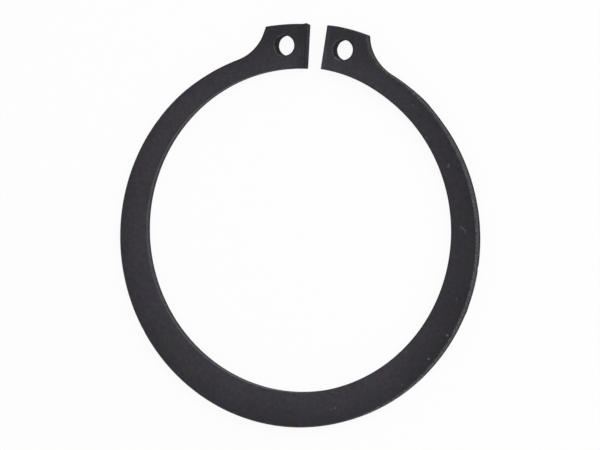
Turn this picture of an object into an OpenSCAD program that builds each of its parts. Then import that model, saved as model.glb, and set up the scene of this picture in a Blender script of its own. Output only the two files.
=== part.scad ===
// External retaining ring for a 55 mm shaft, stamped from spring steel strip.
// The ring lies flat, with the face that was uppermost in the die turned up (+Z).
// The origin is the centre of the inner circle, on the underside, and the gap is at +Y.
// The band is eccentric: it is widest opposite the gap and narrows evenly towards the lugs,
// so that the ring keeps its round shape when pliers spread it.

/* [Band] */
// Diameter of the inner circle when the ring is relaxed
inner_d = 50.8; // [49:0.1:53]
// Thickness of the steel strip
thickness = 2; // [1.5:0.05:2.5]
// Width of the band opposite the gap
band_w = 5.55; // [4.8:0.05:6]
// Width to which the band's outer circle narrows at the gap
band_end_w = 3.15; // [2.6:0.05:3.6]

/* [Lugs] */
// Reach of the lugs outward from the inner circle
lug_reach = 7.1; // [6.5:0.05:7.5]
// Angle between the gap's centre line and the outer corner of a lug
lug_angle = 14.9; // [14:0.1:17]
// Radius of the hollow flank that runs from a lug's corner into the band
flank_r = 7.5; // [6:0.1:9]

/* [Gap] */
// Width of the gap at the inner circle
gap_w = 2.65; // [2:0.05:4]
// Angle that each gap face leans away from the centre line
gap_lean = 2.9; // [0:0.1:5]

/* [Plier holes] */
// Diameter of the two holes for the plier tips
hole_d = 3.1; // [2.5:0.05:3.6]
// Distance of the hole centres from the inner circle
hole_inset = 3.75; // [3.2:0.05:4]
// Angle between the gap's centre line and a hole centre
hole_angle = 9.5; // [9:0.1:10.2]

/* [Edges] */
// Radius that the punch draws onto the upper edges of the band, lugs and gap
roll_r = 0.25; // [0.1:0.01:0.35]
// Radius of the upper rim of a plier hole
hole_roll_r = 0.25; // [0.05:0.01:0.35]
// Radius of the upper edge of the inner circle
inner_roll_r = 0.15; // [0.05:0.01:0.25]
// Radius that tumbling leaves on every lower edge
deburr_r = 0.08; // [0.04:0.01:0.15]
// Angle at which a rounded edge runs out into the flat face
run_out = 15; // [8:1:30]

/* [Hidden] */
$fn = 180;
// Facets of the small rounded edges
edge_fn = 32;
// Length that a cutter runs past the face it opens
past = 1;
// Depth to which a flank dips into the band, so that the two meet without a sliver
flank_dip = 0.01;
inner_r = inner_d / 2;
// The outer circle touches both band widths, so its centre lies below the origin
outer_r = inner_r + (band_w + band_end_w) / 2;
outer_y = -(band_w - band_end_w) / 2;
lug_r = inner_r + lug_reach;
hole_at = inner_r + hole_inset;
// A flank's circle passes through the lug's corner and runs into the outer circle
corner = lug_r * [sin(lug_angle), cos(lug_angle)];
to_corner = corner - [0, outer_y];
corner_far = norm(to_corner);
flank_far = outer_r + flank_r - flank_dip;
flank_turn = acos((corner_far ^ 2 + flank_far ^ 2 - flank_r ^ 2) / (2 * corner_far * flank_far));
flank_angle = atan2(to_corner[0], to_corner[1]) + flank_turn;
flank_way = [sin(flank_angle), cos(flank_angle)];
flank_at = [0, outer_y] + flank_far * flank_way;
// The lug's plate ends where the flank runs into the band
lug_end = [0, outer_y] + outer_r * flank_way;
lug_end_angle = atan2(lug_end[0], lug_end[1]);
// Each half of the gap is cut from its own face to just over the centre line
gap_half_w = gap_w / 2 + lug_reach * tan(gap_lean) + gap_w / 10;

// What a rounded edge takes off a section whose corner is at [0, 0], with steel towards -X and -Y
module edge_cut(radius) {
    translate([-radius, -radius * cos(run_out)])
        difference() {
            square([radius + past, radius + past]);
            circle(radius, $fn = edge_fn);
        }
}

// Section of a solid disc, from its axis to its rim
module disc_section(radius, roll) {
    difference() {
        square([radius, thickness]);
        translate([radius, thickness]) edge_cut(roll);
        translate([radius, 0]) mirror([0, 1]) edge_cut(deburr_r);
    }
}

// Section of a cutter of that half width, which leaves rounded edges on the steel beside it
module cutter_section(half_w, roll) {
    translate([0, -past]) square([half_w, thickness + 2 * past]);
    translate([half_w, thickness]) mirror([1, 0]) edge_cut(roll);
    translate([half_w, 0]) mirror([1, 0]) mirror([0, 1]) edge_cut(deburr_r);
}

module round_cutter(radius, roll) {
    rotate_extrude() cutter_section(radius, roll);
}

module gap_half_cutter() {
    translate([gap_w / 2, inner_r])
        rotate(-gap_lean)
            translate([-gap_half_w, lug_reach + past])
                rotate([90, 0, 0])
                    linear_extrude(lug_reach + 2 * past) cutter_section(gap_half_w, roll_r);
}

module band_disc() {
    translate([0, outer_y]) rotate_extrude() disc_section(outer_r, roll_r);
}

// The sector from which both lugs are cut
module lug_plate() {
    rotate_extrude(angle = 2 * lug_end_angle, start = 90 - lug_end_angle) disc_section(lug_r, roll_r);
}

module both_sides() {
    children();
    mirror([1, 0, 0]) children();
}

module retaining_ring() {
    color([0.2, 0.2, 0.22])
        difference() {
            union() {
                band_disc();
                lug_plate();
            }
            round_cutter(inner_r, inner_roll_r);
            both_sides() {
                translate(flank_at) round_cutter(flank_r, roll_r);
                translate(hole_at * [sin(hole_angle), cos(hole_angle)]) round_cutter(hole_d / 2, hole_roll_r);
                gap_half_cutter();
            }
        }
}

retaining_ring();
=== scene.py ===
"""The looks of an external retaining ring: punched, tumbled and phosphated steel on a pale floor.

Lengths are in millimetres, as on the ring's drawing. MM turns them into metres in an object.
Angles are in degrees, clockwise from the gap (+Y), as seen from above.
"""
import math

import bpy
import numpy as np
from mathutils import Euler, Matrix, Vector, noise
from mathutils.geometry import delaunay_2d_cdt
from mathutils.kdtree import KDTree


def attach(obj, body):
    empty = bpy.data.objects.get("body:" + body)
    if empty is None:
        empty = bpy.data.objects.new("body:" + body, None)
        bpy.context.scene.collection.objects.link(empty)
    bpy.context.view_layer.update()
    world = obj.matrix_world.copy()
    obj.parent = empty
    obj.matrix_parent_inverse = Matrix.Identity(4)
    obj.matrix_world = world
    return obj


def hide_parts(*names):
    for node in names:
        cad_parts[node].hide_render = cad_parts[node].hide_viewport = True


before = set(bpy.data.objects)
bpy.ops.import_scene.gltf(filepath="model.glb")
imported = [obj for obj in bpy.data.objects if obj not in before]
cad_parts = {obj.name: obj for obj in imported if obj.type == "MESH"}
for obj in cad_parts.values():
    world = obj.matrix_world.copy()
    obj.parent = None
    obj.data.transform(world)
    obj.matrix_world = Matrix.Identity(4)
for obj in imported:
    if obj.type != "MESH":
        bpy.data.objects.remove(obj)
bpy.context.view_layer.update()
MM = 0.001

# The ring's driving sizes
INNER_R = 25.4
THICKNESS = 2.0
BAND_W = 5.55
BAND_END_W = 3.15
LUG_REACH = 7.1
LUG_ANGLE = 14.9
FLANK_R = 7.5
GAP_W = 2.65
GAP_LEAN = 2.9
HOLE_R = 1.55
HOLE_INSET = 3.75
HOLE_ANGLE = 9.5

# Rounded edges: the punched outline, the inner circle, the hole rims and everything below
ROLL_R = 0.25
INNER_ROLL_R = 0.15
HOLE_ROLL_R = 0.25
DEBURR_R = 0.08
# Radius of a corner seen from above, and the least that is left of it where two rounded edges meet
CORNER_R = 0.12
MITRE_R = 0.05

# Worked out from the sizes above
CENTRE = np.zeros(2)
OUTER_AT = np.array([0, -(BAND_W - BAND_END_W) / 2])
OUTER_R = INNER_R + (BAND_W + BAND_END_W) / 2
LUG_R = INNER_R + LUG_REACH

# Spacing of the mesh's points along the band, along the lugs, and over the flat faces
BAND_STEP = 0.26
LUG_STEP = 0.13
FACE_STEP = 0.42
CORNER_POINTS = 6
GAP_POINTS = round(LUG_REACH / LUG_STEP)
LUG_POINTS = round(math.radians(LUG_ANGLE) * LUG_R / LUG_STEP)
FLANK_POINTS = round(FLANK_R / LUG_STEP)
BAND_POINTS = round(2.7 * OUTER_R / BAND_STEP)
INNER_POINTS = round(2 * math.pi * INNER_R / BAND_STEP)
HOLE_POINTS = round(2 * math.pi * HOLE_R / LUG_STEP)
# Rows of points down an edge, from the flat face over the rounding and the wall to the underside
BORDER = 0.02
ARC_ROWS = np.radians(np.linspace(90, 0, 7))
WALL_ROWS = (0.12, 0.28, 0.44, 0.54, 0.6, 0.66, 0.74, 0.87, 1)
LOW_ARC_ROWS = np.radians(np.linspace(30, 90, 3))
# The row that lies at the top of the wall itself
WALL_ROW = len(ARC_ROWS)

# The punch shears the upper wall clean. Below this share of the thickness the steel breaks away rough
BREAK_AT = 0.52
BREAK_SWAY = 0.08
BREAK_SWAY_SIZE = 1.2
BREAK_EDGE = 0.03
BREAK_DEPTH = 0.03
BREAK_GRAIN_SIZE = 0.35
# Sway of the whole punched outline
OUTLINE_SWAY = 0.012
OUTLINE_SWAY_SIZE = 4.0
# Wear of an upper rim, and painted highlight where it faces right: its reach, and how strong it is on
# each kind of wall. Above 1 it rubs through
WEAR_REACH = 0.35
OUTER_WEAR_AND_HIGHLIGHT = 1.0
OUTER_LEFT_WEAR = 0.1
INNER_WEAR = 0.9
GAP_WEAR = 0.1
HOLE_PAINTED_HIGHLIGHT = 3.0
# How much less the outside of a lug is worn
LUG_WEAR_LOSS = 0.6
# The painted highlight line round a plier hole: how far back from the wall it lies, and its half width
HOLE_HIGHLIGHT_AT = 0.2
HOLE_HIGHLIGHT_HALF = 0.06
# From where to where in X or Y a wall's outward way comes to face right (+X), away (+Y) or left (-X)
FACES_RIGHT = (-0.6, 0.4)
FACES_AWAY = (0.0, 0.6)
FACES_LEFT = (0.4, -0.1)
# Painted light and shade on each kind of wall: its tone at the rim and lower down, and where it changes
# to the second
WALL_PAINTED_SHADING = {"outer": (1.4, 0.6), "inner": (0.8, 1.4), "gap": (0.92, 1.3), "hole": (0.55, 0.8)}
WALL_PAINTED_SHADING_CHANGE = (0.05, 0.35)
# The same painted light and shade round the outside of a lug, and the angles from the gap between which
# they fade out
LUG_PAINTED_SHADING = (0.6, 0.3)
LUG_PAINTED_SHADING_FADE = (72, 20)
# Where on an upper rounding the wall's look ends and where it's full, as shares of the radius
WALL_FADE = (1.0, 0.6)
# Painted light: how much lighter a hole's wall is where it faces -Y
HOLE_PAINTED_LIGHT = 1.2
# Small burrs (+) and dents (-) on the lower rim of the outer circle: angle, height and half length
LOW_RIM_MARKS = ((39.8, 0.06, 1.4), (94.9, -0.06, 0.35), (108.1, 0.05, 0.7), (203.0, -0.04, 0.5),
                 (286.0, -0.04, 0.4))
# Dents in the upper rim: angle, depth and half length
TOP_RIM_DENTS = ((29.5, 0.05, 0.35), (121.0, 0.06, 0.3), (131.5, 0.05, 0.25), (140.5, 0.06, 0.3),
                 (147.0, 0.04, 0.25), (232.0, 0.04, 0.3), (301.0, 0.04, 0.3))
# The shares of the thickness between which they fade in, counted down a wall
LOW_RIM_FADE = (0.55, 0.95)
TOP_RIM_FADE = (0.3, 0.0)
# Scratches and specks on the upper face: from, to, half width and strength
MARKS = (((26.7, 3.7), (27.6, 3.1), 0.11, 0.7), ((-2.5, 28.3), (-2.2, 27.3), 0.09, 0.4),
         ((23.75, 12.5), (23.85, 12.9), 0.13, 0.8), ((26.4, -13.3), (26.5, -13.2), 0.2, 1.0),
         ((23.8, -17.3), (23.9, -17.2), 0.2, 1.0), ((9.4, -26.9), (9.5, -26.8), 0.16, 0.9),
         ((8.8, -27.2), (8.9, -27.1), 0.12, 0.7), ((8.8, -24.4), (8.9, -24.4), 0.12, 0.7),
         ((14.0, -21.8), (14.1, -21.7), 0.12, 0.7), ((20.1, -16.7), (20.1, -16.5), 0.12, 0.7),
         ((19.9, -21.9), (20.0, -21.8), 0.12, 0.6), ((17.0, 21.5), (17.1, 21.4), 0.12, 0.6),
         ((19.8, 16.6), (19.8, 16.8), 0.12, 0.5), ((27.3, -7.5), (27.3, -7.6), 0.14, 0.6),
         ((27.6, 2.9), (27.6, 2.8), 0.12, 0.5))
# Painted highlights on the rims of the holes, in the same form
HOLE_RIM_PAINTED_HIGHLIGHTS = (((-6.2, 29.8), (-5.5, 30.2), 0.16, 0.6), ((-6.7, 28.3), (-6.2, 27.4), 0.14, 0.5),
             ((3.1, 29.4), (3.9, 30.3), 0.14, 0.5), ((3.6, 27.55), (4.5, 27.2), 0.18, 0.9))
# Painted shade (-) along the left gap edge and a painted highlight (+) along the right one, in the same
# form
GAP_EDGE_PAINTED_SHADE_AND_HIGHLIGHT = (((-1.85, 25.6), (-2.2, 32.3), 1.0, -0.23), ((1.5, 25.6), (1.9, 32.3), 0.8, 0.38))
# The two ends differ a little, as on a ring that has been spread. 1 is the right end, -1 the left one.
# A reach is counted outward from the inner circle, and an angle from the gap's centre line
# How far each plier hole lies off its place (x, y)
HOLE_SHIFTS = {1: (-0.04, 0.1), -1: (-0.13, -0.125)}
# How far the gap lies to the right, and the half widths between which that fades
GAP_SHIFT = 0.045
GAP_SHIFT_FADE = (3.2, 1.9)
# How far the inner edge lies out, and the reach and the angles between which that fades
INNER_OUT = {1: 0.15, -1: -0.06}
INNER_REACH = (2.0, 0.3)
INNER_ANGLES = (33, 10)
# How far the band's shoulder beside a lug lies out, its reach, and the angles where it starts and ends
SHOULDER_OUT = {1: 0.07, -1: -0.1}
SHOULDER_REACH = (1, 3)
SHOULDER_STARTS = (14, 22)
SHOULDER_ENDS = (50, 36)
# How far a lug's end lies out, how deep that goes, and how far beside the gap the right one rises to it
END_OUT = {1: 0.08, -1: -0.14}
END_DEPTH = 1.3
END_RISE = 1.6
# How far the left lug's outer corner lies to the left, its reach, and where it starts and ends sideways
CORNER_OUT = 0.12
CORNER_REACH = (5, 6.8)
CORNER_STARTS = (6.4, 8)
CORNER_ENDS = (13, 8.5)
# The punch left a burr at the left lug's gap corner, with a short level crest
BURR_LENGTH = 0.9
BURR_HEIGHT = 0.14
BURR_DEPTH = 0.8
BURR_CREST = 0.15

# Tone of the upper face outward, to the right (painted shade) and to the gap: from and to in metres,
# and both tones
OUTWARD_TONES = (INNER_R * MM, (LUG_R - 1) * MM, 1.2, 0.72)
RIGHT_PAINTED_SHADE = (14 * MM, 24.5 * MM, 1.03, 0.75)
GAP_TONES = (-30 * MM, 30 * MM, 1.025, 0.96)
# Tones of its patches, and of the streaks that the punch left on the walls
PATCH_TONES = (0.95, 1.09)
STREAK_TONES = (0.7, 1.3)

# Colours of the coat, its clouds, tints and light flecks, and of rubbed steel, also used for painted
# highlights
COAT_DARK = (0.0202, 0.0188, 0.0238, 1)
COAT_LIGHT = (0.0330, 0.0301, 0.0378, 1)
PURPLE = (0.0300, 0.0220, 0.0325, 1)
GREEN = (0.0232, 0.0270, 0.0295, 1)
WARM = (0.0295, 0.0255, 0.0250, 1)
BLUE = (0.0240, 0.0240, 0.0365, 1)
FLECK = (0.0450, 0.0420, 0.0480, 1)
RUBBED_AND_HIGHLIGHT = (0.14, 0.14, 0.15, 1)
# The most of the rubbed steel's colour that shows through the coat, at wear and painted highlights
RUBBED_AND_HIGHLIGHT_MOST = 0.6
# Sizes of what shows on the coat
PATCH_SIZE = 6.0
PURPLE_SIZE = 1.7
WARM_SIZE = 1.4
CLOUD_SIZE = 0.7
GRAIN_SIZE = 0.3
STREAK_SIZE = 0.3
STREAK_STRETCH = (1, 1, 6)
CRYSTAL_SIZE = 0.05
# Gloss of the coat, its roughness from fine to coarse grain, and the least where sheltered and broken
SPECULAR = 0.17
ROUGHNESS = (0.58, 0.44)
LEAST_ROUGHNESS = {"sheltered": 0.9, "broken": 0.8}
# Height of the bump, and how much of it the crystals and the grain make
BUMP_HEIGHT = 0.004
CRYSTAL_BUMP = 0.6
GRAIN_BUMP = 1.4
# Values that the mesh carries for the shader, among them the rims' wear with painted highlight and the
# walls' painted light and shade
SHADER_VALUES = ("broken", "rim", "wall", "sheltered", "wall_painted_shading")

# The floor: half its side in metres, how far it lies under the ring, and its paper's colour
FLOOR_HALF = 3.0
FLOOR_DROP = 0.02
PAPER = (0.9, 0.9, 0.9, 1)
WHITE = (1, 1, 1, 1)
# How much of the floor shows as plain white to the camera, and in reflections
FLOOR_WHITE = 0.92
FLOOR_WHITE_MIRRORED = 0.3
# Strength of the light from all round. The lamp's side in metres, its watts, distance and direction
ROUND_LIGHT = 0.6
LAMP_SIZE = 0.46
LAMP_POWER = 2.0
LAMP_FAR = 0.6
LAMP_WAY = Vector((0.57, 0.42, 0.7))
# The camera: its turns about X, Y and Z, its place from the origin by its own axes, and its lens
CAMERA_TURNS = (-1.06035, 19.72167, 6.14527)
CAMERA_PLACE = Vector((0.0308, 0.8154, 508.9345))
CAMERA_LENS = 194.18


def way(angle):
    """Unit vectors at angles counted clockwise from +Y."""
    a = np.radians(angle)
    return np.stack([np.sin(a), np.cos(a)], -1)


def bearing(vector):
    return math.degrees(math.atan2(vector[0], vector[1]))


def smooth(zero_at, one_at, value):
    """An even curve from 0 at one value to 1 at another, and level beyond them."""
    t = np.clip((value - zero_at) / (one_at - zero_at), 0, 1)
    return t * t * (3 - 2 * t)


def circles_meet(a, radius_a, b, radius_b, side):
    """The point where two circles cross, to the right (1) or left (-1) of the way from a to b."""
    apart = b - a
    far = np.linalg.norm(apart)
    along = (far ** 2 + radius_a ** 2 - radius_b ** 2) / (2 * far)
    ahead = apart / far
    right = np.array([ahead[1], -ahead[0]])
    return a + along * ahead + side * math.sqrt(radius_a ** 2 - along ** 2) * right


def beside_gap(radius, inset):
    """The point at that radius from the ring's centre, that far inside the right gap face."""
    ahead = way(GAP_LEAN)
    start = np.array([GAP_W / 2, INNER_R]) + inset * way(90 + GAP_LEAN)
    along = start @ ahead
    return start + ahead * (math.sqrt(along ** 2 - start @ start + radius ** 2) - along)


def arc(centre, radius, start, end, count, heights, closed=False):
    """Points along an arc of wall: place, outward way, height. A hollow wall's radius is negative."""
    share = np.linspace(0, 1, count, endpoint=closed)
    out = way(start + share * (end - start))
    height = heights[0] + share * (heights[1] - heights[0])
    return np.column_stack([centre + radius * out, out, height])


def straight(start, end, angle, count, height):
    """The same along a straight wall that faces one way."""
    share = np.linspace(0, 1, count, endpoint=False)[:, None]
    out = np.tile(way(angle), (count, 1))
    return np.column_stack([start + share * (end - start), out, np.full(count, height)])


def right_half(outer_row, inner_row):
    """A row of the right half's wall, from the gap face's foot clockwise to the bottom of the band."""
    (inset, height), (inner_inset, inner_height) = outer_row, inner_row
    level = (height, height)
    corner = max(CORNER_R - inset, MITRE_R)
    foot_at = beside_gap(INNER_R + inner_inset + corner, inset + corner)
    top_at = beside_gap(LUG_R - inset - corner, inset + corner)
    flank_at = circles_meet(OUTER_AT, OUTER_R + FLANK_R, LUG_R * way(LUG_ANGLE), FLANK_R, 1)
    tip_at = circles_meet(CENTRE, LUG_R - inset - corner, flank_at, FLANK_R + inset + corner, -1)
    gap_side = 270 + GAP_LEAN
    to_gap = corner * way(gap_side)
    flank_from, flank_to = bearing(flank_at - tip_at), bearing(flank_at - OUTER_AT)
    return np.vstack([
        arc(foot_at, corner, 180 + bearing(foot_at), gap_side, CORNER_POINTS, (inner_height, height)),
        straight(foot_at + to_gap, top_at + to_gap, gap_side, GAP_POINTS, height),
        arc(top_at, corner, gap_side, 360 + bearing(top_at), CORNER_POINTS, level),
        arc(CENTRE, LUG_R - inset, bearing(top_at), bearing(tip_at), LUG_POINTS, level),
        arc(tip_at, corner, bearing(tip_at), flank_from, CORNER_POINTS, level),
        arc(flank_at, -FLANK_R - inset, flank_from, flank_to, FLANK_POINTS, level),
        arc(OUTER_AT, OUTER_R - inset, flank_to, 180, BAND_POINTS, level, closed=True)])


def outline_row(outer_row, inner_row):
    """A row of the whole wall, clockwise round the outside and back along the inner circle."""
    right = right_half(outer_row, inner_row)
    left = right[::-1] * [-1, 1, -1, 1, 1]
    foot = bearing(right[0, :2])
    inset, height = inner_row
    inner = arc(CENTRE, -INNER_R - inset, 540 - foot, 180 + foot, INNER_POINTS, (height, height))
    return np.vstack([right, left[1:], inner[1:]])


def hole_row(side, row):
    """A row of a plier hole's wall, on the right (1) or left (-1) of the gap."""
    centre = (INNER_R + HOLE_INSET) * way(side * HOLE_ANGLE) + HOLE_SHIFTS[side]
    inset, height = row
    return arc(centre, -HOLE_R - inset, 360, 0, HOLE_POINTS, (height, height))


def edge_profile(roll):
    """Inset and height of each row of points down an edge."""
    high = THICKNESS - roll
    rows = [(roll + BORDER, THICKNESS)]
    rows += [(roll * (1 - math.cos(a)), high + roll * math.sin(a)) for a in ARC_ROWS]
    rows += [(0, high + share * (DEBURR_R - high)) for share in WALL_ROWS]
    rows += [(DEBURR_R * (1 - math.cos(a)), DEBURR_R * (1 - math.sin(a))) for a in LOW_ARC_ROWS]
    return rows + [(DEBURR_R + BORDER, 0)]


def outline_kinds(places):
    """The kind of wall at each place on the outline: the outside, the inner circle or the gap."""
    radius = np.linalg.norm(places, axis=1)
    in_gap = (np.abs(places[:, 0]) < beside_gap(LUG_R, 0)[0] + CORNER_R / 2) & (places[:, 1] > 0)
    kinds = np.where(radius < INNER_R + CORNER_R / 2, "inner", "outer")
    return np.where(in_gap & (radius < LUG_R - CORNER_R / 2), "gap", kinds)


def all_walls():
    """The rows of each closed wall, with the kind at each place: the outline and the two holes."""
    outline = [outline_row(*rows) for rows in zip(edge_profile(ROLL_R), edge_profile(INNER_ROLL_R))]
    around_hole = edge_profile(HOLE_ROLL_R)
    walls = [(outline, outline_kinds(outline[WALL_ROW][:, :2]))]
    for side in (1, -1):
        walls.append(([hole_row(side, row) for row in around_hole], np.full(HOLE_POINTS, "hole")))
    return walls


def noise_at(places, heights, scale, seed):
    """Smooth noise from about -1 to 1 at each point, with features of about the scale's size."""
    points = np.column_stack([places, heights]) / scale
    return np.array([noise.noise(Vector(p) + Vector((seed, 0, 0))) for p in points])


def angle_on_outer(angle):
    """The angle about the outer circle's centre of its point at an angle about the ring's centre."""
    offset = -OUTER_AT[1] * math.sin(math.radians(angle)) / OUTER_R
    return angle - math.degrees(math.asin(offset))


def rim_marks(places, marks):
    """The height of the marks near each place on the outer circle."""
    total = np.zeros(len(places))
    for angle, height, half in marks:
        at = OUTER_AT + OUTER_R * way(angle_on_outer(angle))
        far = np.linalg.norm(places - at, axis=1)
        total += height * np.exp(-(far / half) ** 2)
    return total


def broken_share(row, places, seed):
    """0 where the punch sheared the wall clean, and 1 below, where the steel broke away."""
    level = np.zeros(len(row))
    breaks_at = BREAK_AT + BREAK_SWAY * noise_at(places, level, BREAK_SWAY_SIZE, seed + 10)
    return smooth(breaks_at - BREAK_EDGE, breaks_at + BREAK_EDGE, 1 - row[:, 4] / THICKNESS)


def shaped_row(row, wall, torn, seed):
    """The points of a row, moved by the outline's sway, the break and the marks on the rims."""
    places, faces, height = wall[:, :2], wall[:, 2:4], row[:, 4]
    down = 1 - height / THICKNESS
    sway = noise_at(places, np.zeros(len(row)), OUTLINE_SWAY_SIZE, seed)
    grain = noise_at(places, height, BREAK_GRAIN_SIZE, seed + 20)
    inward = OUTLINE_SWAY * (0.5 + 0.5 * sway) + torn * BREAK_DEPTH * (0.6 + 0.4 * grain)
    inward -= rim_marks(places, LOW_RIM_MARKS) * smooth(*LOW_RIM_FADE, down)
    inward += rim_marks(places, TOP_RIM_DENTS) * smooth(*TOP_RIM_FADE, down)
    return np.column_stack([row[:, :2] - faces * inward[:, None], height])


def from_gap(x, y):
    """The angle between the gap's centre line and each place, to either side."""
    return np.degrees(np.arctan2(np.abs(x), y))


def lug_share(places, kinds):
    """1 round the outside of a lug, fading to 0 along the band."""
    return smooth(*LUG_PAINTED_SHADING_FADE, from_gap(*places.T)) * (kinds == "outer")


def painted_wall_shading(down, faces, kinds, near_lug):
    """Painted light and shade on the wall, from its rim down."""
    tones = np.array([WALL_PAINTED_SHADING[kind] for kind in kinds])
    rim_painted_shading, low_painted_shading = (tones + near_lug[:, None] * (np.array(LUG_PAINTED_SHADING) - tones)).T
    # Painted light on a hole's wall where it faces -Y
    low_painted_shading = low_painted_shading * np.where(kinds == "hole", 1 + HOLE_PAINTED_LIGHT * np.maximum(0, -faces[:, 1]), 1)
    return rim_painted_shading + (low_painted_shading - rim_painted_shading) * smooth(*WALL_PAINTED_SHADING_CHANGE, down)


def rim_wear_and_painted_highlight(inset, drop, faces, kinds, near_lug):
    """How much the coat is rubbed off near an upper rim, with painted highlight where the outer circle
    and the holes face right. Above 1 it's rubbed through everywhere.
    """
    near = np.exp(-(np.hypot(inset, drop) / WEAR_REACH) ** 2)
    to_right = smooth(*FACES_RIGHT, faces[:, 0])
    away_left = smooth(*FACES_AWAY, faces[:, 1]) * smooth(*FACES_LEFT, faces[:, 0])
    hole_highlight_line = np.exp(-((inset - HOLE_HIGHLIGHT_AT) / HOLE_HIGHLIGHT_HALF) ** 2)
    # Towards right-facing rims the outer circle's rubbed colour grows into painted highlight
    outer = near * (OUTER_LEFT_WEAR + (OUTER_WEAR_AND_HIGHLIGHT - OUTER_LEFT_WEAR) * to_right)
    others = {"hole": HOLE_PAINTED_HIGHLIGHT * hole_highlight_line * to_right,
              "inner": INNER_WEAR * near * away_left,
              "gap": GAP_WEAR * near}
    on_others = [kinds == kind for kind in others]
    return np.select(on_others, list(others.values()), outer * (1 - LUG_WEAR_LOSS * near_lug))


def row_values(row, wall, kinds, roll, torn):
    """The shader values along a row: break, wear with painted highlight, and the share, shelter and
    painted light and shade of the wall.
    """
    places, faces = wall[:, :2], wall[:, 2:4]
    inset = np.linalg.norm(row[:, :2] - places, axis=1)
    drop = THICKNESS - row[:, 4]
    upper_half = drop < THICKNESS / 2
    on_wall = np.where(upper_half, smooth(*WALL_FADE, inset / roll), 1)
    near_lug = lug_share(places, kinds)
    return {"broken": torn,
            "rim": rim_wear_and_painted_highlight(inset, drop, faces, kinds, near_lug) * on_wall * upper_half,
            "wall": on_wall,
            "sheltered": on_wall * np.isin(kinds, ("gap", "hole")),
            "wall_painted_shading": painted_wall_shading(drop / THICKNESS, faces, kinds, near_lug)}


def wall_mesh(rows, kinds, seed):
    """Points and shader values of all rows of one closed wall."""
    wall = rows[WALL_ROW]
    roll = np.linalg.norm(rows[1][:, :2] - wall[:, :2], axis=1) + 1e-6
    made = []
    for row in rows:
        torn = broken_share(row, wall[:, :2], seed)
        made.append((shaped_row(row, wall, torn, seed), row_values(row, wall, kinds, roll, torn)))
    return made


def inside(points, loop):
    """Which points lie inside a closed loop."""
    result = np.zeros(len(points), bool)
    x, y = points[:, 0], points[:, 1]
    for (x1, y1), (x2, y2) in zip(loop, np.roll(loop, -1, axis=0)):
        crosses = (y1 > y) != (y2 > y)
        if crosses.any():
            result ^= crosses & (x < x1 + (y - y1) * (x2 - x1) / (y2 - y1 + 1e-12))
    return result


def on_steel(points, loops):
    """Which points lie inside the first loop and outside the others."""
    result = inside(points, loops[0])
    for loop in loops[1:]:
        result &= ~inside(points, loop)
    return result


def face_grid(loops):
    """Points of an even triangular grid that lie on the steel, well clear of its edges."""
    reach = LUG_R + 1
    row_step = FACE_STEP * math.sqrt(3) / 2
    rows = np.arange(-reach, reach, row_step)
    columns = np.arange(-reach, reach, FACE_STEP)
    grid = np.array([(x + (i % 2) * FACE_STEP / 2, y) for i, y in enumerate(rows) for x in columns])
    grid = grid[on_steel(grid, loops)]
    edge = np.vstack(loops)
    tree = KDTree(len(edge))
    for i, (x, y) in enumerate(edge):
        tree.insert((x, y, 0), i)
    tree.balance()
    clear = [tree.find((x, y, 0))[2] > 0.6 * FACE_STEP for x, y in grid]
    return grid[np.array(clear)]


def face_triangles(loops, grid):
    """Triangles over a flat face. Points are counted through the loops in turn and then the grid."""
    points = np.vstack(loops + [grid])
    borders, start = [], 0
    for loop in loops:
        count = len(loop)
        borders += [(start + i, start + (i + 1) % count) for i in range(count)]
        start += count
    result = delaunay_2d_cdt([Vector(p) for p in points], borders, [], 1, 1e-9)
    came_from = np.array([sources[0] for sources in result[3]])
    triangles = came_from[np.array(result[2])]
    middles = points[triangles].mean(axis=1)
    return triangles[on_steel(middles, loops)]


class MeshParts:
    """Gathers points, faces and shader values for one mesh."""

    def __init__(self):
        self.points, self.faces = [], []
        self.values = {key: [] for key in SHADER_VALUES}

    def add_points(self, points, values=None):
        """Adds points with their shader values, or with none, and returns their numbers."""
        start = len(self.points)
        self.points += [tuple(p) for p in points]
        for key, known in self.values.items():
            known += list(values[key]) if values else [0.0] * len(points)
        return list(range(start, len(self.points)))

    def add_wall(self, rows, kinds, seed):
        """Adds one closed wall and returns its first and last rows of numbers."""
        rows = [self.add_points(points, values) for points, values in wall_mesh(rows, kinds, seed)]
        for upper, lower in zip(rows, rows[1:]):
            upper_next, lower_next = upper[1:] + upper[:1], lower[1:] + lower[:1]
            self.faces += list(zip(upper, upper_next, lower_next, lower))
        return rows[0], rows[-1]

    def add_face(self, borders, height, upward):
        """Closes the steel between the borders with a flat face."""
        loops = [np.array([self.points[i][:2] for i in border]) for border in borders]
        grid = face_grid(loops)
        places = np.column_stack([grid, np.full(len(grid), height)])
        numbers = sum(borders, []) + self.add_points(places)
        for triangle in face_triangles(loops, grid):
            corners = [numbers[i] for i in triangle]
            self.faces.append(corners if upward else corners[::-1])

    def make(self, name):
        mesh = bpy.data.meshes.new(name)
        mesh.from_pydata((np.array(self.points) * MM).tolist(), [], self.faces)
        mesh.shade_smooth()
        for key, values in self.values.items():
            mesh.attributes.new(key, "FLOAT", "POINT").data.foreach_set("value", values)
        mesh.update()
        piece = bpy.data.objects.new(name, mesh)
        bpy.context.scene.collection.objects.link(piece)
        return piece


def on_side(x, values):
    """The value of the end that each place belongs to."""
    return np.where(x < 0, values[-1], values[1])


def burr_height(x, radius, z):
    """How far the burr stands out, towards the upper edge of the left lug's gap corner."""
    from_end = x + beside_gap(LUG_R, 0)[0]
    rise = np.clip((from_end + BURR_LENGTH) / (BURR_LENGTH - BURR_CREST), 0, 1) ** 1.5
    height = BURR_HEIGHT * rise * smooth(LUG_R - BURR_DEPTH, LUG_R, radius) * smooth(0, THICKNESS, z)
    return np.where(x < 0, height, 0)


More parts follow.
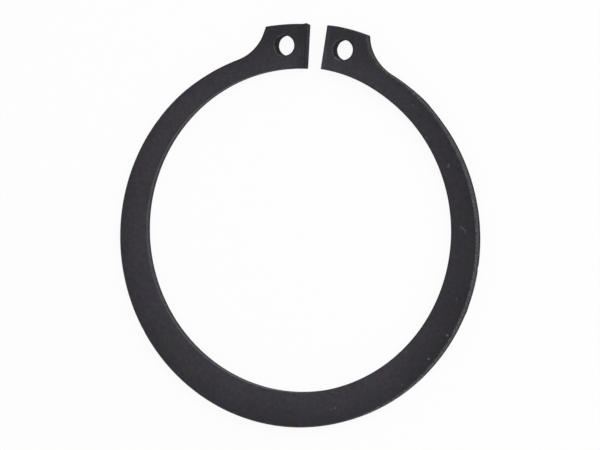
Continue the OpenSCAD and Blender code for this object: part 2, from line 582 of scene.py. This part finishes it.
def shape_ends(points):
    """Makes the two ends differ: moves their edges out or in, and the gap and a corner aside."""
    x, y, z = points.T
    radius = np.hypot(x, y)
    reach = radius - INNER_R
    angle = from_gap(x, y)
    gap_x = beside_gap(LUG_R, 0)[0]
    inner = on_side(x, INNER_OUT) * smooth(*INNER_REACH, reach) * smooth(*INNER_ANGLES, angle)
    shoulder = on_side(x, SHOULDER_OUT) * smooth(*SHOULDER_REACH, reach)
    shoulder *= smooth(*SHOULDER_STARTS, angle) * smooth(*SHOULDER_ENDS, angle)
    end = on_side(x, END_OUT) * smooth(LUG_R - END_DEPTH, LUG_R, radius)
    end *= np.where(x < 0, 1, smooth(gap_x, gap_x + END_RISE, x))
    out = inner + shoulder + end + burr_height(x, radius, z)
    corner = smooth(*CORNER_STARTS, -x) * smooth(*CORNER_ENDS, -x) * smooth(*CORNER_REACH, reach)
    aside = GAP_SHIFT * smooth(*GAP_SHIFT_FADE, np.abs(x)) - CORNER_OUT * corner
    moved = np.column_stack([x + x / radius * out + aside, y + y / radius * out, z])
    return np.where(y[:, None] > 0, moved, points)


def make_ring():
    """The ring as one closed mesh, with its sheared walls, rims with wear and painted highlight, and
    small marks.
    """
    parts = MeshParts()
    rims = [parts.add_wall(rows, kinds, 7.0 * i) for i, (rows, kinds) in enumerate(all_walls())]
    parts.add_face([top for top, _ in rims], THICKNESS, True)
    parts.add_face([low for _, low in rims], 0, False)
    parts.points = shape_ends(np.array(parts.points))
    return parts.make("ring_steel")


class Nodes:
    """Adds and joins a node tree's nodes. An input is a number, a colour or another node's output."""

    def __init__(self, tree):
        self.tree = tree
        tree.nodes.clear()

    def add(self, kind, inputs, output=0, **settings):
        node = self.tree.nodes.new(kind)
        for key, value in settings.items():
            setattr(node, key, value)
        for key, value in inputs.items():
            if isinstance(value, bpy.types.NodeSocket):
                self.tree.links.new(value, node.inputs[key])
            else:
                node.inputs[key].default_value = value
        return node.outputs[output] if node.outputs else None

    def math(self, operation, a, b=0.0, c=0.0, clamp=False):
        return self.add("ShaderNodeMath", {0: a, 1: b, 2: c}, operation=operation, use_clamp=clamp)

    def span(self, value, low, high, to_low=0.0, to_high=1.0):
        """Maps low to high onto another span, along an even curve that stops at both ends."""
        inputs = {"Value": value, "From Min": low, "From Max": high,
                  "To Min": to_low, "To Max": to_high}
        return self.add("ShaderNodeMapRange", inputs, interpolation_type="SMOOTHSTEP")

    def vector(self, operation, a, b=(0, 0, 0), scale=1.0, output=0):
        return self.add("ShaderNodeVectorMath", {0: a, 1: b, 3: scale}, output, operation=operation)

    def stroke(self, place, start, end, half_width):
        """1 along a line between two points of the upper face, fading to 0 beside it."""
        start, end = (Vector((*point, THICKNESS)) * MM for point in (start, end))
        along = end - start
        from_start = self.vector("SUBTRACT", place, start)
        ahead = self.vector("DOT_PRODUCT", from_start, along / along.length_squared, output="Value")
        ahead = self.math("MAXIMUM", self.math("MINIMUM", ahead, 1.0), 0.0)
        nearest = self.vector("ADD", self.vector("SCALE", along, scale=ahead), start)
        apart = self.vector("LENGTH", self.vector("SUBTRACT", place, nearest), output="Value")
        return self.span(apart, 0.4 * half_width * MM, half_width * MM, 1.0, 0.0)

    def blend(self, share, a, b):
        """Mixes two colours. The node keeps them in its inputs 6 and 7 and its output 2."""
        return self.add("ShaderNodeMix", {0: share, 6: a, 7: b}, output=2, data_type="RGBA")

    def noise(self, place, size, detail=2.0, roughness=0.5, stretch=(1, 1, 1), shift=0.0):
        """Noise with features of about that size in millimetres, stretched along the axes."""
        scale = [1 / (MM * size * s) for s in stretch]
        mapping = {"Vector": place, "Scale": scale, "Location": (shift,) * 3}
        moved = self.add("ShaderNodeMapping", mapping)
        inputs = {"Vector": moved, "Scale": 1.0, "Detail": detail, "Roughness": roughness}
        return self.add("ShaderNodeTexNoise", inputs)

    def value(self, name):
        """One of the mesh's own shader values."""
        return self.add("ShaderNodeAttribute", {}, output="Fac", attribute_name=name)


def coat_colour(n, place, grain):
    """The coat's own colour: clouds of dark and light, faint tints and light flecks."""
    cloud = n.noise(place, CLOUD_SIZE, 3.0, 0.65, shift=3.0)
    purple = n.noise(place, PURPLE_SIZE, shift=11.0)
    warm = n.noise(place, WARM_SIZE, shift=17.0)
    colour = n.blend(n.span(cloud, 0.3, 0.7), COAT_DARK, COAT_LIGHT)
    colour = n.blend(n.span(purple, 0.5, 0.7, 0.0, 0.6), colour, PURPLE)
    colour = n.blend(n.span(purple, 0.5, 0.3, 0.0, 0.6), colour, GREEN)
    colour = n.blend(n.span(warm, 0.5, 0.7, 0.0, 0.4), colour, WARM)
    colour = n.blend(n.span(warm, 0.5, 0.3, 0.0, 0.4), colour, BLUE)
    return n.blend(n.span(grain, 0.5, 0.75, 0.0, 0.5), colour, FLECK)


def coat_tone_and_painted_shading(n, place, streaks):
    """How light the coat is: its patches, the punch's streaks on the walls, and painted light and shade
    over the faces and walls.
    """
    radius = n.vector("LENGTH", place, output="Value")
    to_right = n.vector("DOT_PRODUCT", place, (1, 0.15, 0), output="Value")
    to_gap = n.vector("DOT_PRODUCT", place, (0, 1, 0), output="Value")
    patches = n.noise(place, PATCH_SIZE, shift=7.0)
    # Painted shade darkens the upper face towards the right
    face_tone_and_painted_shade = n.math("MULTIPLY", n.span(radius, *OUTWARD_TONES), n.span(to_right, *RIGHT_PAINTED_SHADE))
    face_tone_and_painted_shade = n.math("MULTIPLY", face_tone_and_painted_shade, n.span(to_gap, *GAP_TONES))
    # The walls' painted light and shade, streaked by the punch
    wall_painted_shading = n.math("MULTIPLY", n.value("wall_painted_shading"), n.span(streaks, 0.3, 0.7, *STREAK_TONES))
    tone = n.math("MULTIPLY_ADD", n.value("wall"), n.math("SUBTRACT", wall_painted_shading, face_tone_and_painted_shade), face_tone_and_painted_shade)
    tone = n.math("MULTIPLY", tone, n.span(patches, 0.3, 0.7, *PATCH_TONES))
    # Painted shade along the left gap edge, painted highlight along the right one
    for start, end, half_width, change in GAP_EDGE_PAINTED_SHADE_AND_HIGHLIGHT:
        shade = n.math("MULTIPLY_ADD", n.stroke(place, start, end, half_width), change, 1.0)
        tone = n.math("MULTIPLY", tone, shade)
    return tone


def rubbed_and_highlight_share(n, place, grain, streaks):
    """How much of the coat is rubbed off along the rims and at the marks, with painted highlights among
    them.
    """
    rim = n.value("rim")
    worn = n.math("MAXIMUM", n.span(grain, 0.5, 0.7), n.span(streaks, 0.52, 0.66))
    worn = n.math("MAXIMUM", worn, n.span(rim, 1.0, 2.0, 0.0, 0.5))
    rubbed_and_highlight = n.math("MULTIPLY", rim, worn, clamp=True)
    for start, end, half_width, strength in MARKS + HOLE_RIM_PAINTED_HIGHLIGHTS:
        mark = n.math("MULTIPLY", n.stroke(place, start, end, half_width), strength)
        rubbed_and_highlight = n.math("MAXIMUM", rubbed_and_highlight, mark)
    return rubbed_and_highlight


def phosphated_steel():
    """A black phosphate coat: grainy, rubbed at the rims, with painted light, shade and highlights, and
    dull where it's broken or sheltered.
    """
    material = bpy.data.materials.new("phosphated_steel")
    material.use_nodes = True
    n = Nodes(material.node_tree)
    place = n.add("ShaderNodeTexCoord", {}, output="Object")
    grain = n.noise(place, GRAIN_SIZE, 3.0, 0.6, shift=5.0)
    streaks = n.noise(place, STREAK_SIZE, 3.0, 0.6, stretch=STREAK_STRETCH, shift=9.0)
    crystals = n.noise(place, CRYSTAL_SIZE, 3.0, 0.7)

    coat = n.vector("SCALE", coat_colour(n, place, grain), scale=coat_tone_and_painted_shading(n, place, streaks))
    rubbed_and_highlight = rubbed_and_highlight_share(n, place, grain, streaks)
    colour = n.blend(n.math("MULTIPLY", rubbed_and_highlight, RUBBED_AND_HIGHLIGHT_MOST), coat, RUBBED_AND_HIGHLIGHT)
    roughness = n.span(grain, 0.2, 0.8, *ROUGHNESS)
    for name, least in LEAST_ROUGHNESS.items():
        roughness = n.math("MAXIMUM", roughness, n.math("MULTIPLY", n.value(name), least))
    height = n.math("MULTIPLY_ADD", crystals, CRYSTAL_BUMP, n.math("MULTIPLY", grain, GRAIN_BUMP))
    bump = {"Height": height, "Strength": 1.0, "Distance": BUMP_HEIGHT * MM}
    shader = n.add("ShaderNodeBsdfPrincipled", {
        "Base Color": colour, "Roughness": roughness, "Normal": n.add("ShaderNodeBump", bump),
        "Metallic": 0.0, "Specular IOR Level": SPECULAR})
    n.add("ShaderNodeOutputMaterial", {"Surface": shader})
    return material


def make_floor():
    """A wide pale floor just under the ring. It shows nearly white and keeps a soft shadow."""
    sides = ((-1, -1), (1, -1), (1, 1), (-1, 1))
    corners = [(x * FLOOR_HALF, y * FLOOR_HALF, -FLOOR_DROP * MM) for x, y in sides]
    mesh = bpy.data.meshes.new("floor")
    mesh.from_pydata(corners, [], [(0, 1, 2, 3)])
    floor = bpy.data.objects.new("floor", mesh)
    bpy.context.scene.collection.objects.link(floor)
    material = bpy.data.materials.new("floor_paper")
    material.use_nodes = True
    n = Nodes(material.node_tree)
    path = n.tree.nodes.new("ShaderNodeLightPath").outputs
    seen = n.math("MAXIMUM", path["Is Camera Ray"], path["Is Transmission Ray"])
    mirrored = n.math("MULTIPLY", path["Is Glossy Ray"], FLOOR_WHITE_MIRRORED)
    share = n.math("MAXIMUM", n.math("MULTIPLY", seen, FLOOR_WHITE), mirrored)
    paper = n.add("ShaderNodeBsdfDiffuse", {"Color": PAPER, "Roughness": 0.0})
    white = n.add("ShaderNodeEmission", {"Color": WHITE, "Strength": 1.0})
    surface = n.add("ShaderNodeMixShader", {0: share, 1: paper, 2: white})
    n.add("ShaderNodeOutputMaterial", {"Surface": surface})
    mesh.materials.append(material)


def make_light():
    """Even light from all round, which shows as white, and a soft lamp above, behind to the right."""
    world = bpy.data.worlds.new("studio")
    world.use_nodes = True
    n = Nodes(world.node_tree)
    path = n.tree.nodes.new("ShaderNodeLightPath").outputs
    seen = n.math("MAXIMUM", path["Is Camera Ray"], path["Is Glossy Ray"])
    seen = n.math("MAXIMUM", seen, path["Is Transmission Ray"])
    strength = n.span(seen, 0.0, 1.0, ROUND_LIGHT, 1.0)
    light = n.add("ShaderNodeBackground", {"Color": WHITE, "Strength": strength})
    n.add("ShaderNodeOutputWorld", {"Surface": light})
    bpy.context.scene.world = world
    lamp = bpy.data.lights.new("softbox", "AREA")
    lamp.shape = "SQUARE"
    lamp.size = LAMP_SIZE
    lamp.energy = LAMP_POWER
    softbox = bpy.data.objects.new("softbox", lamp)
    softbox.location = LAMP_FAR * LAMP_WAY
    softbox.rotation_euler = (-LAMP_WAY).to_track_quat("-Z", "Y").to_euler()
    bpy.context.scene.collection.objects.link(softbox)


def make_camera():
    """The photograph's view: from above and to the right of the ring, with the gap away from it."""
    camera = bpy.data.objects.new("camera", bpy.data.cameras.new("camera"))
    camera.data.lens = CAMERA_LENS
    camera.data.sensor_width = 36
    camera.data.clip_start = 0.01
    turn = Euler([math.radians(angle) for angle in CAMERA_TURNS]).to_matrix().to_4x4()
    camera.matrix_world = turn @ Matrix.Translation(CAMERA_PLACE * MM)
    bpy.context.scene.collection.objects.link(camera)
    bpy.context.scene.camera = camera


make_camera()
make_floor()
make_light()

ring = make_ring()
ring.data.materials.append(phosphated_steel())
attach(ring, "root")
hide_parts("retaining_ring")

bpy.context.scene.view_settings.view_transform = "Standard"
